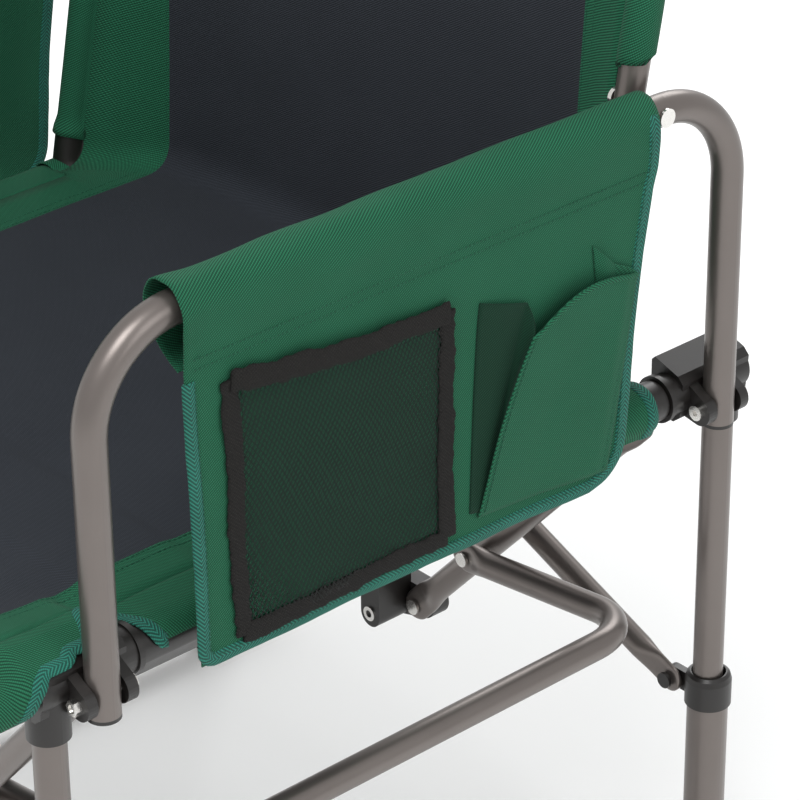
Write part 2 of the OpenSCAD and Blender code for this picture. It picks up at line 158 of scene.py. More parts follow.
# ---------------------------------------------------------------- material nodes
class Nodes:
    """A material's node tree, with short ways to add nodes."""

    def __init__(self, name):
        self.material = bpy.data.materials.new(name)
        self.material.use_nodes = True
        self.tree = self.material.node_tree
        self.shader = self.tree.nodes["Principled BSDF"]

    def add(self, kind, **settings):
        node = self.tree.nodes.new(kind)
        for key, value in settings.items():
            setattr(node, key, value)
        return node

    def put(self, socket, value):
        if isinstance(value, bpy.types.NodeSocket):
            self.tree.links.new(value, socket)
        else:
            socket.default_value = value

    def calc(self, operation, a, b=0.0):
        node = self.add("ShaderNodeMath", operation=operation)
        self.put(node.inputs[0], a)
        self.put(node.inputs[1], b)
        return node.outputs[0]

    def wave(self, value, pitch):
        """0 to 1, once every pitch."""
        turned = self.calc("MULTIPLY", value, 2 * math.pi / pitch)
        return self.half(self.calc("SINE", turned))

    def half(self, value):
        return self.calc("ADD", self.calc("MULTIPLY", value, 0.5), 0.5)

    def cloth(self):
        node = self.add("ShaderNodeAttribute", attribute_name="cloth")
        parts = self.add("ShaderNodeSeparateXYZ")
        self.tree.links.new(node.outputs["Vector"], parts.inputs[0])
        return node.outputs["Vector"], parts.outputs[0], parts.outputs[1]

    def place(self):
        return self.add("ShaderNodeTexCoord").outputs["Object"]

    def noise(self, vector, scale, detail=2.0, rough=0.5):
        node = self.add("ShaderNodeTexNoise")
        self.tree.links.new(vector, node.inputs["Vector"])
        node.inputs["Scale"].default_value = scale
        node.inputs["Detail"].default_value = detail
        node.inputs["Roughness"].default_value = rough
        return node.outputs[0]

    def blend(self, amount, low, high):
        node = self.add("ShaderNodeMix", data_type="RGBA")
        self.put(node.inputs[0], amount)
        self.put(node.inputs[6], low)
        self.put(node.inputs[7], high)
        return node.outputs[2]

    def bump(self, height, distance, strength=1.0):
        node = self.add("ShaderNodeBump")
        node.inputs["Strength"].default_value = strength
        node.inputs["Distance"].default_value = distance
        self.tree.links.new(height, node.inputs["Height"])
        self.tree.links.new(node.outputs[0], self.shader.inputs["Normal"])

    def set(self, **values):
        names = {
            "color": "Base Color", "metal": "Metallic", "rough": "Roughness", "alpha": "Alpha",
            "sheen": "Sheen Weight", "sheen_rough": "Sheen Roughness", "specular": "Specular IOR Level",
            "coat": "Coat Weight", "coat_rough": "Coat Roughness",
        }
        for key, value in values.items():
            self.put(self.shader.inputs[names[key]], value)
        return self


def rgb(r, g, b):
    return (r, g, b, 1.0)


def twill(name, dark, light, pitch=1.9 * MM, rough=0.86):
    """Woven polyester: diagonal twill ribs broken up by the cross yarns, with slow mottling."""
    m = Nodes(name)
    vector, u, v = m.cloth()
    wobble = m.calc("MULTIPLY", m.noise(vector, 90, 2), 0.5 * MM)
    rib = m.wave(m.calc("ADD", m.calc("SUBTRACT", v, m.calc("MULTIPLY", u, 0.6)), wobble), pitch)
    yarn = m.wave(m.calc("ADD", u, m.calc("MULTIPLY", v, 0.4)), pitch * 0.8)
    crossed = m.calc("MULTIPLY", rib, yarn)
    height = m.calc("ADD", m.calc("MULTIPLY", rib, 0.5), m.calc("MULTIPLY", crossed, 0.7))
    slow = m.noise(vector, 14, 3)
    speck = m.noise(vector, 900, 2)
    mix = m.calc("ADD", m.calc("MULTIPLY", height, 0.95), m.calc("MULTIPLY", slow, 0.18))
    mix = m.calc("ADD", mix, m.calc("MULTIPLY", speck, 0.14))
    m.set(color=m.blend(mix, dark, light), rough=rough, sheen=0.03, sheen_rough=0.45, specular=0.18)
    m.bump(height, 0.3 * MM, 0.85)
    return m.material


def tape(name, dark, light, pitch=2.5 * MM):
    """Binding tape with herringbone ribs either side of its middle."""
    m = Nodes(name)
    vector, u, v = m.cloth()
    lean = m.calc("MULTIPLY", m.calc("ABSOLUTE", v), 1.15)
    wobble = m.calc("MULTIPLY", m.noise(vector, 160, 2), 0.5 * MM)
    rib = m.wave(m.calc("ADD", m.calc("ADD", u, lean), wobble), pitch)
    yarn = m.wave(m.calc("SUBTRACT", u, lean), pitch * 0.6)
    height = m.calc("ADD", m.calc("MULTIPLY", rib, 0.8), m.calc("MULTIPLY", yarn, 0.2))
    sharp = m.calc("POWER", height, 1.6)
    slow = m.noise(vector, 25, 2)
    mix = m.calc("ADD", m.calc("MULTIPLY", sharp, 0.8), m.calc("MULTIPLY", slow, 0.28))
    m.set(color=m.blend(mix, dark, light), rough=0.72, sheen=0.04, specular=0.22)
    m.bump(height, 0.45 * MM, 0.9)
    return m.material


def knit(name, dark, light):
    """Dull knitted edging with grainy loops."""
    m = Nodes(name)
    vector, u, v = m.cloth()
    one_way = m.wave(m.calc("ADD", u, v), 2.6 * MM)
    other_way = m.wave(m.calc("SUBTRACT", u, v), 2.3 * MM)
    loops = m.calc("MULTIPLY", one_way, other_way)
    grain = m.noise(vector, 620, 3, 0.7)
    mix = m.calc("MULTIPLY", m.calc("POWER", grain, 2.2), m.calc("ADD", loops, 0.5))
    m.set(color=m.blend(mix, dark, light), rough=0.9, specular=0.25)
    m.bump(m.calc("ADD", loops, grain), 0.6 * MM, 0.9)
    return m.material


def net(name, dark, light):
    """Open mesh: fine diagonal strands with holes between them."""
    m = Nodes(name)
    vector, u, v = m.cloth()
    wobble = m.calc("MULTIPLY", m.noise(vector, 120, 2), 1.4 * MM)
    u2 = m.calc("ADD", u, wobble)
    first = m.wave(m.calc("ADD", u2, m.calc("MULTIPLY", v, 0.62)), 3.6 * MM)
    second = m.wave(m.calc("SUBTRACT", u2, m.calc("MULTIPLY", v, 0.62)), 3.6 * MM)
    strand = m.calc("MAXIMUM", first, second)
    solid = m.calc("GREATER_THAN", strand, 0.90)
    grain = m.noise(vector, 700, 2)
    m.set(color=m.blend(grain, dark, light), rough=0.85, specular=0.3, alpha=solid)
    m.bump(strand, 0.4 * MM, 0.6)
    return m.material


def powder_coat(name, low, high):
    """Satin powder coat on steel: fine orange peel, faint smears and rubbed patches."""
    m = Nodes(name)
    place = m.place()
    smear = m.noise(place, 9, 4, 0.6)
    peel = m.noise(place, 950, 2)
    rough = m.calc("ADD", m.calc("MULTIPLY", smear, 0.16), 0.27)
    m.set(color=m.blend(smear, low, high), metal=0.74, rough=rough, specular=0.5, coat=0.12, coat_rough=0.3)
    m.bump(peel, 0.05 * MM, 0.35)
    return m.material


def moulded(name, low, high, rough=0.36):
    """Moulded plastic: dark and satin, with a fine grain and handling marks."""
    m = Nodes(name)
    place = m.place()
    marks = m.noise(place, 34, 5, 0.65)
    grain = m.noise(place, 1500, 2)
    m.set(
        color=m.blend(marks, low, high),
        rough=m.calc("ADD", m.calc("MULTIPLY", marks, 0.22), rough - 0.08), specular=0.5,
    )
    m.bump(m.calc("ADD", grain, m.calc("MULTIPLY", marks, 0.7)), 0.06 * MM, 0.5)
    return m.material


def plated(name, low, high):
    """Bright plated steel with fine scratches."""
    m = Nodes(name)
    place = m.place()
    scratch = m.noise(place, 420, 4, 0.7)
    m.set(
        color=m.blend(scratch, low, high), metal=1.0,
        rough=m.calc("ADD", m.calc("MULTIPLY", scratch, 0.25), 0.1),
    )
    m.bump(scratch, 0.03 * MM, 0.4)
    return m.material


def thread(name, low, high):
    m = Nodes(name)
    place = m.place()
    fibre = m.noise(place, 1800, 2)
    m.set(color=m.blend(fibre, low, high), rough=0.7, specular=0.3)
    m.bump(fibre, 0.1 * MM, 0.6)
    return m.material


GREEN = twill("green_cloth", rgb(0.001, 0.012, 0.006), rgb(0.020, 0.152, 0.078))
# Darker copy of the green cloth: painted shade for the phone pocket's left gusset, deep in the pocket's fold
GREEN_PAINTED_SHADE = twill("green_cloth_painted_shade", rgb(0.001, 0.006, 0.003), rgb(0.006, 0.046, 0.024))
CHARCOAL = twill("charcoal_cloth", rgb(0.004, 0.005, 0.007), rgb(0.040, 0.046, 0.058), 1.7 * MM)
TEAL = tape("teal_tape", rgb(0.001, 0.014, 0.010), rgb(0.026, 0.220, 0.160), 2.9 * MM)
EDGING = knit("black_edging", rgb(0.003, 0.003, 0.003), rgb(0.042, 0.038, 0.034))
NET = net("black_net", rgb(0.002, 0.003, 0.003), rgb(0.013, 0.016, 0.014))
STEEL = powder_coat("taupe_steel", rgb(0.138, 0.120, 0.111), rgb(0.182, 0.160, 0.149))
PLASTIC = moulded("black_plastic", rgb(0.0065, 0.0055, 0.0050), rgb(0.0130, 0.0110, 0.0102))
BRIGHT = plated("bright_steel", rgb(0.62, 0.60, 0.57), rgb(0.86, 0.85, 0.82))
SPRING = plated("spring_steel", rgb(0.30, 0.30, 0.30), rgb(0.50, 0.50, 0.49))
THREAD = thread("green_thread", rgb(0.003, 0.040, 0.020), rgb(0.012, 0.110, 0.060))


# ---------------------------------------------------------------- mesh tools
def add_mesh(name, points, faces, cloth, materials, body, choose=None):
    mesh = bpy.data.meshes.new(name)
    mesh.from_pydata([tuple(p) for p in points], [], faces)
    attribute = mesh.attributes.new("cloth", "FLOAT_VECTOR", "POINT")
    attribute.data.foreach_set("vector", [c for uv in cloth for c in (uv[0], uv[1], 0.0)])
    for material in materials:
        mesh.materials.append(material)
    for polygon in mesh.polygons:
        polygon.use_smooth = True
        if choose:
            polygon.material_index = choose(polygon.center)
    mesh.validate()
    obj = bpy.data.objects.new(name, mesh)
    bpy.context.scene.collection.objects.link(obj)
    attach(obj, body)
    return obj


def grid_faces(rows, columns):
    return [
        (i * columns + j, i * columns + j + 1, (i + 1) * columns + j + 1, (i + 1) * columns + j)
        for i in range(rows - 1)
        for j in range(columns - 1)
    ]


def add_sheet(name, rows, cloth, thick, materials, body, choose=None):
    """A sheet of cloth from rows of points, given its thickness."""
    columns = len(rows[0])
    points = [p for row in rows for p in row]
    uvs = [uv for row in cloth for uv in row]
    obj = add_mesh(name, points, grid_faces(len(rows), columns), uvs, materials, body, choose)
    solid = obj.modifiers.new("thickness", "SOLIDIFY")
    solid.thickness = thick
    solid.offset = 0
    bpy.context.view_layer.update()
    shape = bpy.data.meshes.new_from_object(obj.evaluated_get(bpy.context.evaluated_depsgraph_get()))
    obj.modifiers.clear()
    obj.data = shape
    return obj


def turns(path):
    """Unit direction of travel at each point of a path."""
    out = []
    for i in range(len(path)):
        a, b = path[max(i - 1, 0)], path[min(i + 1, len(path) - 1)]
        out.append((b - a).normalized())
    return out


def add_loft(name, path, ups, section, material, body):
    """A closed solid swept along path. section(i) gives its ring of (side, up) offsets at point i."""
    points, cloth, run = [], [], 0.0
    directions = turns(path)
    count = len(section(0))
    for i, p in enumerate(path):
        if i:
            run += (p - path[i - 1]).length
        up = ups[i] if isinstance(ups, list) else ups
        side = directions[i].cross(up).normalized()
        lift = side.cross(directions[i]).normalized()
        for a, b in section(i):
            points.append(p + side * a + lift * b)
            cloth.append((run, a))
    faces = []
    for i in range(len(path) - 1):
        for k in range(count):
            a, b = i * count + k, i * count + (k + 1) % count
            faces.append((a, b, b + count, a + count))
    faces.append(tuple(range(count))[::-1])
    faces.append(tuple(range((len(path) - 1) * count, len(path) * count)))
    return add_mesh(name, points, faces, cloth, [material], body)


def ring(width, height, count=16, square=3.0):
    """Rounded flat section: a superellipse of half width and half height."""
    out = []
    for k in range(count):
        a = 2 * math.pi * k / count
        c, s = math.cos(a), math.sin(a)
        out.append((
            width * math.copysign(abs(c) ** (2 / square), c),
            height * math.copysign(abs(s) ** (2 / square), s),
        ))
    return out


def along(points, spacing):
    """Points at even spacing along a polyline."""
    lengths = [0.0]
    for a, b in zip(points, points[1:]):
        lengths.append(lengths[-1] + (b - a).length)
    total = lengths[-1]
    count = max(2, round(total / spacing) + 1)
    out, i = [], 0
    for k in range(count):
        want = total * k / (count - 1)
        while i < len(points) - 2 and lengths[i + 1] < want:
            i += 1
        span = lengths[i + 1] - lengths[i] or 1.0
        out.append(points[i].lerp(points[i + 1], (want - lengths[i]) / span))
    return out


def curved(points, per=8):
    """Catmull-Rom curve through the points."""
    out = []
    for i in range(len(points) - 1):
        p0 = points[max(i - 1, 0)]
        p1, p2 = points[i], points[i + 1]
        p3 = points[min(i + 2, len(points) - 1)]
        for k in range(per):
            t = k / per
            out.append(0.5 * (
                2 * p1 + (p2 - p0) * t + (2 * p0 - 5 * p1 + 4 * p2 - p3) * t * t
                + (3 * p1 - p0 - 3 * p2 + p3) * t * t * t
            ))
    out.append(points[-1])
    return out


def add_tape(name, path, ups, body, half=5 * MM, thick=1.3 * MM, material=None, ripple=0.0):
    """Binding tape folded over an edge, with a slightly uneven width."""
    def section(i):
        wide = half * (1 + 0.06 * noise.noise(Vector((i * 0.31, half * 900, 1.7))))
        wide += ripple * noise.noise(Vector((i * 0.45, 3.1, half * 700)))
        return ring(wide, thick, 16, 2.6)
    return add_loft(name, path, ups, section, material or TEAL, body)


TICK = 0.35 * MM
# Rings of one stitch: share of its length, share of its radius, and lift in radii
STITCH_RINGS = [(0.0, 0.45, -0.4), (0.18, 1.0, 0.25), (0.82, 1.0, 0.25), (1.0, 0.45, -0.4)]


def add_stitches(name, paths, body, up, material=THREAD, stitch=3.2 * MM, gap=1.1 * MM, r=0.33 * MM):
    """Rows of short thread stitches lying on the cloth."""
    points, faces, cloth = [], [], []
    for path in paths:
        ticks = along(path, TICK)
        reach = max(1, round(stitch / TICK))
        skip = reach + max(1, round(gap / TICK))
        for first in range(0, len(ticks) - reach, skip):
            a, b = ticks[first], ticks[first + reach]
            run = (b - a).normalized()
            side = run.cross(up).normalized()
            base = len(points)
            for share, size, lift in STITCH_RINGS:
                mid = a.lerp(b, share) + up * r * lift
                for k in range(6):
                    turn = math.pi * k / 3
                    points.append(mid + (side * math.cos(turn) + up * math.sin(turn)) * r * size)
                    cloth.append((share * stitch, turn * r))
            for i in range(3):
                for k in range(6):
                    c, d = base + i * 6 + k, base + i * 6 + (k + 1) % 6
                    faces.append((c, d, d + 6, c + 6))
            faces.append(tuple(base + k for k in range(5, -1, -1)))
            faces.append(tuple(base + 18 + k for k in range(6)))
    return add_mesh(name, points, faces, cloth, [material], body)


# ---------------------------------------------------------------- arm panels
PANEL_TOP = ARM_Z - 38 * MM
PANEL_COLUMNS, PANEL_ROWS = 96, 52
# The sleeve's section round the arm tube, from its inner hem over the top to the seam, in millimetres
SLEEVE = [
    (9, -38), (0, -33), (-9, -25), (-15, -12), (-17, 1), (-13, 12), (-4, 17), (7, 15.5), (14, 7.5),
    (16.2, -5), (15.6, -20), (14.4, -38),
]


def panel_x(y, z, s):
    """Distance of the panel's middle from the arm tube's centre plane, with its slack."""
    low = step_between(PANEL_TOP - z, 0.0, 60 * MM)
    slack = 2.4 * MM * noise.noise(Vector((y * 8, z * 6, s * 3.1)))
    slack += 0.9 * MM * noise.noise(Vector((y * 21 + 4, z * 11, s)))
    return 14.4 * MM + low * slack - 0.8 * MM * low


def front_edge(z):
    share = (z - 467 * MM) / (189 * MM)
    wave = 1.1 * MM * noise.noise(Vector((z * 16, 1.3, 2.0)))
    return lerp(-201 * MM, -206 * MM, share) + wave


def rear_edge(z):
    share = (z - 478 * MM) / (211 * MM)
    wave = 1.2 * MM * noise.noise(Vector((z * 14, 5.3, 2.0)))
    return lerp(158 * MM, 183 * MM, share) - 2.5 * MM * math.sin(math.pi * min(max(share, 0), 1)) + wave


def bottom_edge(y):
    share = (y + 201 * MM) / (347 * MM)
    wave = 0.8 * MM * noise.noise(Vector((y * 15, 2, 1)))
    return lerp(466.5 * MM, 461.5 * MM, share) + wave


CORNER = 26 * MM


def panel_point(across, down, s):
    """Point of the panel, across from the front edge (0) to the rear (1) and down from the seam (0)."""
    y = lerp(-205 * MM, 165 * MM, across)
    z = lerp(PANEL_TOP, bottom_edge(y), down)
    front, rear = front_edge(z), rear_edge(z)
    above = z - bottom_edge(rear)
    if above < CORNER:
        rear -= CORNER - math.sqrt(max(CORNER ** 2 - (CORNER - max(above, 0)) ** 2, 0))
    y = lerp(front, rear, across)
    z = lerp(PANEL_TOP, bottom_edge(y), down)
    return at(s * (ARM_X + panel_x(y, z, s)), y, z)


def build_panel(side, s):
    """Arm sleeve and side panel as one sheet of cloth."""
    profile = curved([Vector((dx * MM, dz * MM, 0)) for dx, dz in SLEEVE], 4)
    rows, cloth, run = [], [], 0.0
    for i, p in enumerate(profile):
        if i:
            run += (p - profile[i - 1]).length
        loose = step_between(p.y, -30 * MM, 5 * MM)
        row, uvs = [], []
        for j in range(PANEL_COLUMNS):
            across = j / (PANEL_COLUMNS - 1)
            z = ARM_Z + p.y
            y = lerp(front_edge(PANEL_TOP) - 1.5 * MM * loose, rear_edge(PANEL_TOP) + 5 * MM * loose, across)
            puff = 1 + 0.07 * noise.noise(Vector((y * 20, i * 0.22, s * 2.0)))
            near = step_between(across, 0.0, 0.07)
            puff += 0.10 * (1 - near) * loose
            seam = step_between(-p.y, 22 * MM, 36 * MM)
            puff = lerp(puff, 1.0, seam)
            row.append(at(s * (ARM_X + p.x * puff), y, z if p.y < 0 else ARM_Z + p.y * puff))
            uvs.append((y, -run))
        rows.append(row)
        cloth.append(uvs)
    for i in range(1, PANEL_ROWS + 1):
        row, uvs = [], []
        for j in range(PANEL_COLUMNS):
            p = panel_point(j / (PANEL_COLUMNS - 1), i / PANEL_ROWS, s)
            row.append(p)
            uvs.append((p.y - Y0, -run - (PANEL_TOP - p.z)))
        rows.append(row)
        cloth.append(uvs)
    obj = add_sheet(f"arm_panel_{side}", rows, cloth, 0.9 * MM, [GREEN], f"side_{side}")
    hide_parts(f"arm_sleeve_{side}", f"side_panel_{side}")
    return obj


def build_binding(side, s):
    """Teal tape round the free edges of the panel."""
    flat = [panel_point(0, k / 40, s) for k in range(1, 40)]
    flat += [panel_point(k / 60, 1, s) for k in range(1, 60)]
    flat += [panel_point(1, 1 - k / 60, s) for k in range(0, 60)]
    for dz, dx in ((10, 0.3), (20, 1.0), (30, 1.6), (38, 1.4), (45, -0.5), (50, -4), (53, -9)):
        top_y = rear_edge(PANEL_TOP) + 4 * MM
        flat.append(at(s * (ARM_X + 14.6 * MM + dx * MM), top_y - 1 * MM, PANEL_TOP + dz * MM))
    centre = at(s * (ARM_X + 14 * MM), -20 * MM, 590 * MM)
    path = along(flat, 4 * MM)
    inward = [(centre - p).normalized() * 3.2 * MM for p in path]
    path = [Vector((p.x, p.y + q.y, p.z + q.z)) for p, q in zip(path, inward)]
    path = along(path, 3.5 * MM)
    up = Vector((s, 0, 0))
    obj = add_tape(f"panel_binding_{side}", path, up, f"side_{side}", 5 * MM, 1.5 * MM)
    edge = [p + up * 0.4 * MM for p in path]
    middle_in = []
    for p in edge:
        q = (centre - p)
        q.x = 0
        middle_in.append(p + q.normalized() * 4.2 * MM + up * 0.9 * MM)
    seam = add_stitches(f"binding_stitches_{side}", [middle_in], f"side_{side}", up)
    return obj


def build_panel_seams(side, s):
    """Two rows of stitches under the sleeve, and a short one down its front end."""
    up = Vector((s, 0, 0))
    rows = []
    for z, lift in ((PANEL_TOP + 1 * MM, 0.7 * MM), (PANEL_TOP + 8 * MM, 1.2 * MM)):
        rows.append([
            at(s * (ARM_X + 14.4 * MM + lift), lerp(-200 * MM, 178 * MM, k / 90), z) for k in range(91)
        ])
    rows.append([
        at(s * (ARM_X + 15.8 * MM - abs(k - 4) * 0.15 * MM), -196 * MM, ARM_Z - (6 + k * 6) * MM)
        for k in range(5)
    ])
    obj = add_stitches(f"panel_seams_{side}", rows, f"side_{side}", up)
    return obj


for side, s in (("left", 1), ("right", -1)):
    panel = build_panel(side, s)
    bound = build_binding(side, s)
    seams = build_panel_seams(side, s)


# ---------------------------------------------------------------- pockets on the left panel
def quad(corners, a, b):
    """(y, z) inside four corners TL, TR, BR, BL, in millimetres."""
    (ty, tz), (uy, uz), (vy, vz), (wy, wz) = corners
    top = (lerp(ty, uy, a), lerp(tz, uz, a))
    low = (lerp(wy, vy, a), lerp(wz, vz, a))
    return lerp(top[0], low[0], b) * MM, lerp(top[1], low[1], b) * MM


def on_panel(y, z, lift):
    return at(ARM_X + panel_x(y, z, 1) + lift, y, z)


def build_net():
    corners = [(-174, 656), (1, 640), (-1, 478), (-169, 477)]
    n = 44
    rows, cloth = [], []
    for i in range(n):
        row, uvs = [], []
        for j in range(n):
            a, b = j / (n - 1), i / (n - 1)
            y, z = quad(corners, a, b)
            z -= 3.5 * MM * math.sin(math.pi * a) * (1 - b)
            swell = math.sin(math.pi * a) * (0.35 + 0.65 * math.sin(math.pi * min(b + 0.25, 1)))
            swell = 4.2 * MM * swell + 1.0 * MM * noise.noise(Vector((y * 22, z * 20, 5)))
            row.append(on_panel(y, z, 1.6 * MM + max(swell, 0)))
            uvs.append((y + 0.004 * math.sin(z * 40), z))
        rows.append(row)
        cloth.append(uvs)
    obj = add_sheet("net_pocket", rows, cloth, 0.5 * MM, [NET], "side_left")
    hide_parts("mesh_pocket")
    edges = []
    for k, (a, b) in enumerate(((0, 1), (1, 2), (2, 3), (3, 0))):
        (ay, az), (by, bz) = corners[a], corners[b]
        line = []
        for i in range(61):
            t = i / 60
            y, z = lerp(ay, by, t) * MM, lerp(az, bz, t) * MM
            if k == 0:
                z -= 3.5 * MM * math.sin(math.pi * t)
            wave = 1.5 * MM * noise.noise(Vector((t * 7, k * 4.1, 0.5)))
            if k % 2:
                y += wave
            else:
                z += wave
            ripple = 0.7 * MM * noise.noise(Vector((t * 9, k, 3)))
            lift = 1.6 * MM + (1.8 * MM if k == 0 else 0.7 * MM) + ripple
            if k == 0:
                lift += 2.6 * MM * math.sin(math.pi * t)
            line.append(on_panel(y, z, lift))
        edges.append(line)
    for k, line in enumerate(edges):
        half = 7.6 * MM if k == 0 else 6.6 * MM
        piece = add_tape(
            f"net_edging_{('top', 'rear', 'low', 'front')[k]}", along(line, 2.5 * MM), Vector((1, 0, 0)),
            "side_left", half, 1.25 * MM, EDGING, 1.8 * MM,
        )


def build_phone_pocket():
    bottom_left, bottom_right = (27, 481), (143, 471)
    top_left, top_right = (67, 601), (167, 609)
    n = 40
    rows, cloth = [], []
    for i in range(n):
        b = i / (n - 1)
        row, uvs = [], []
        for j in range(n):
            a = j / (n - 1)
            crest = 12.5 * math.sin(math.pi * a)
            ty = lerp(top_left[0], top_right[0], a)
            tz = lerp(top_left[1], top_right[1], a) + crest
            left_bow = 5 * math.sin(math.pi * b) * (1 - a)
            wy = lerp(bottom_left[0], bottom_right[0], a)
            wz = lerp(bottom_left[1], bottom_right[1], a)
            y = (lerp(ty, wy, b) - left_bow) * MM
            z = lerp(tz, wz, b) * MM
            out = 10.5 * MM * (1 - b) ** 0.6 * (1 - 0.6 * a) + 1.8 * MM
            out += 0.9 * MM * noise.noise(Vector((y * 26, z * 22, 9)))
            out *= 1 - 0.5 * step_between(a, 0.88, 1.0)
            row.append(on_panel(y, z, max(out, 1.3 * MM)))
            uvs.append((y, z))
        rows.append(row)
        cloth.append(uvs)
    front = add_sheet("phone_pocket_front", rows, cloth, 1.0 * MM, [GREEN], "side_left")
    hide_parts("phone_pocket")
    left_edge = [row[0] for row in rows]
    right_edge = [row[-1] for row in rows]
    for name, seam_top, seam_low, fold_top, fold_low, edge in (
        ("left", (29, 634), (20, 486), (69, 621), (33, 484), left_edge),
        ("right", (127, 641), (140, 560), (146, 622), (150, 560), right_edge),
    ):
        fold_rows, uvs_rows = [], []
        for i in range(n):
            b = i / (n - 1)
            seam_y, seam_z = (lerp(seam_top[axis], seam_low[axis], b) for axis in (0, 1))
            fold_y, fold_z = (lerp(fold_top[axis], fold_low[axis], b) for axis in (0, 1))
            seam = on_panel(seam_y * MM, seam_z * MM, 1.1 * MM)
            fold = on_panel(fold_y * MM, fold_z * MM, 2.4 * MM)
            row, uvs = [], []
            for j in range(12):
                a = j / 11
                p = seam.lerp(fold, a)
                p.x += 1.6 * MM * math.sin(math.pi * a) * (1 - b)
                row.append(p)
                uvs.append((p.y - Y0 + 0.3, p.z))
            target = edge[i] if name == "left" else edge[min(n - 1, i // 2)]
            for j in range(1, 7):
                p = fold.lerp(target, j / 6)
                p.y += 2.5 * MM * math.sin(math.pi * j / 6)
                row.append(p)
                uvs.append((fold.y - Y0 + 0.3 + 0.012 * j / 6, p.z))
            fold_rows.append(row)
            uvs_rows.append(uvs)
        # The left gusset takes the darker green, painted shade for the recess under the pocket's flap
        shade = GREEN_PAINTED_SHADE if name == "left" else GREEN
        piece = add_sheet(f"phone_gusset_{name}", fold_rows, uvs_rows, 0.9 * MM, [shade], "side_left")
    up = Vector((1, 0, 0))
    lift = up * 0.75 * MM

    def inset(line, toward, amount):
        return [p + (q - p).normalized() * amount + lift for p, q in zip(line, toward)]

    mids = [row[n // 2] for row in rows]
    top = [p + Vector((0, 0, -3.2 * MM)) + lift for p in rows[0]]
    low = [p + Vector((0, 0, 4 * MM)) + lift for p in rows[-1]]
    lines = [inset(left_edge, mids, 3.5 * MM), inset(right_edge, mids, 5 * MM), low]
    seams = add_stitches(
        "phone_pocket_stitches", lines, "side_left", up, THREAD, 2.8 * MM, 1.0 * MM, 0.3 * MM,
    )
    hem_path = [p - lift * 0.6 + Vector((0, 0, 1.2 * MM)) for p in top]
    hem = add_tape("phone_pocket_hem", hem_path, up, "side_left", 1.6 * MM, 0.9 * MM, GREEN)
    edge_path = [p + up * 0.2 * MM for p in left_edge]
    crease = add_tape("phone_pocket_edge", edge_path, up, "side_left", 0.9 * MM, 0.9 * MM, GREEN)


build_net()
build_phone_pocket()


# ---------------------------------------------------------------- seat
JOINT_FRONT, JOINT_BACK = -(ARM_Y + 42 * MM), -(ARM_Y - 40 * MM)
BRACKET_BACK = -(ARM_Y - 112 * MM)
BAND = 215 * MM
EDGE_FLAT = 23 * MM
FLAT_END = RAIL_X - EDGE_FLAT
JOINT_LIFT = 11.3 * MM


def wrap_length(y):
    """How far the seat cloth reaches round the rail from its flat part, in metres."""
    full, over, shoulder, cut = 70 * MM, 44 * MM, 36 * MM, 4 * MM
    out = lerp(full, shoulder, step_between(y, JOINT_FRONT - 18 * MM, JOINT_FRONT + 10 * MM))
    out = lerp(out, 30 * MM, step_between(y, -(ARM_Y + 18 * MM), -(ARM_Y + 10 * MM)))
    out = lerp(out, cut, step_between(y, -(ARM_Y - 2 * MM), -(ARM_Y - 18 * MM)))
    if y > -(ARM_Y - 18 * MM):
        out = lerp(cut, over, step_between(y, JOINT_BACK - 3 * MM, JOINT_BACK + 14 * MM))
    if y > BRACKET_BACK - 6 * MM:
        out = lerp(over, full, step_between(y, BRACKET_BACK - 6 * MM, BRACKET_BACK + 8 * MM))
    return out


def wrap_radius(y):
    behind = step_between(y, JOINT_BACK, JOINT_BACK + 10 * MM)
    near = behind * (1 - step_between(y, BRACKET_BACK, BRACKET_BACK + 14 * MM))
    return lerp(14.2 * MM, 16.2 * MM, near)


# Section of the cloth where it lies over the front joint, from the rail's middle, in millimetres
OVER_JOINT = [(-23, 25.5), (-12, 26.3), (9.5, 19.5), (16, 12.5), (15.5, -2), (8, -14), (-4, -18)]


def over_joint(y):
    """1 where the cloth lies over the front joint's flat top, 0 where it lies round the rail."""
    ahead = step_between(y, JOINT_FRONT - 18 * MM, JOINT_FRONT)
    return ahead * (1 - step_between(y, -(ARM_Y - 17 * MM), -(ARM_Y - 30 * MM)))


def joint_section(run):
    """Offset from the rail's middle at run metres along OVER_JOINT."""
    points = [Vector((x * MM, 0, z * MM)) for x, z in OVER_JOINT]
    for a, b in zip(points, points[1:]):
        span = (b - a).length
        if run <= span:
            return a.lerp(b, run / span)
        run -= span
    return points[-1]


def seat_point(x, y, run=None):
    """Seat surface at x from the centre, or run metres past the flat part round the rail."""
    r = wrap_radius(y)
    sag = 5.0 * MM * (1 - (x / FLAT_END) ** 2) * (1 - 0.35 * abs(y) / NOSE_Y)
    broad = 2.2 * MM * noise.noise(Vector((x * 7, y * 5, 8.2)))
    fine = 0.8 * MM * noise.noise(Vector((x * 19, y * 15, 3.2)))
    fold = (broad + fine) * min(1.0, (FLAT_END - abs(x)) / (40 * MM) + 0.25)
    raised = over_joint(y)
    pucker = 4.5 * MM * step_between(abs(x), 0.17, 0.24) * math.exp(-(((y + ARM_Y - 14 * MM) / 0.03) ** 2))
    if run is None:
        lift = raised * JOINT_LIFT * step_between(abs(x), FLAT_END - 60 * MM, FLAT_END)
        return at(x, y, RAIL_Z + r - sag + fold - pucker + lift)
    s = math.copysign(1, x)
    if run < EDGE_FLAT:
        p = at(s * (FLAT_END + run), y, RAIL_Z + r + fold * 0.25 - pucker * (1 - run / EDGE_FLAT))
    else:
        turn = (run - EDGE_FLAT) / r
        wobble = 1 + 0.05 * noise.noise(Vector((y * 24, turn * 2, s)))
        p = at(s * (RAIL_X + r * wobble * math.sin(turn)), y, RAIL_Z + r * wobble * math.cos(turn))
    q = joint_section(run)
    return p.lerp(at(s * (RAIL_X + q.x), y, RAIL_Z + q.z + fold * 0.25), raised)


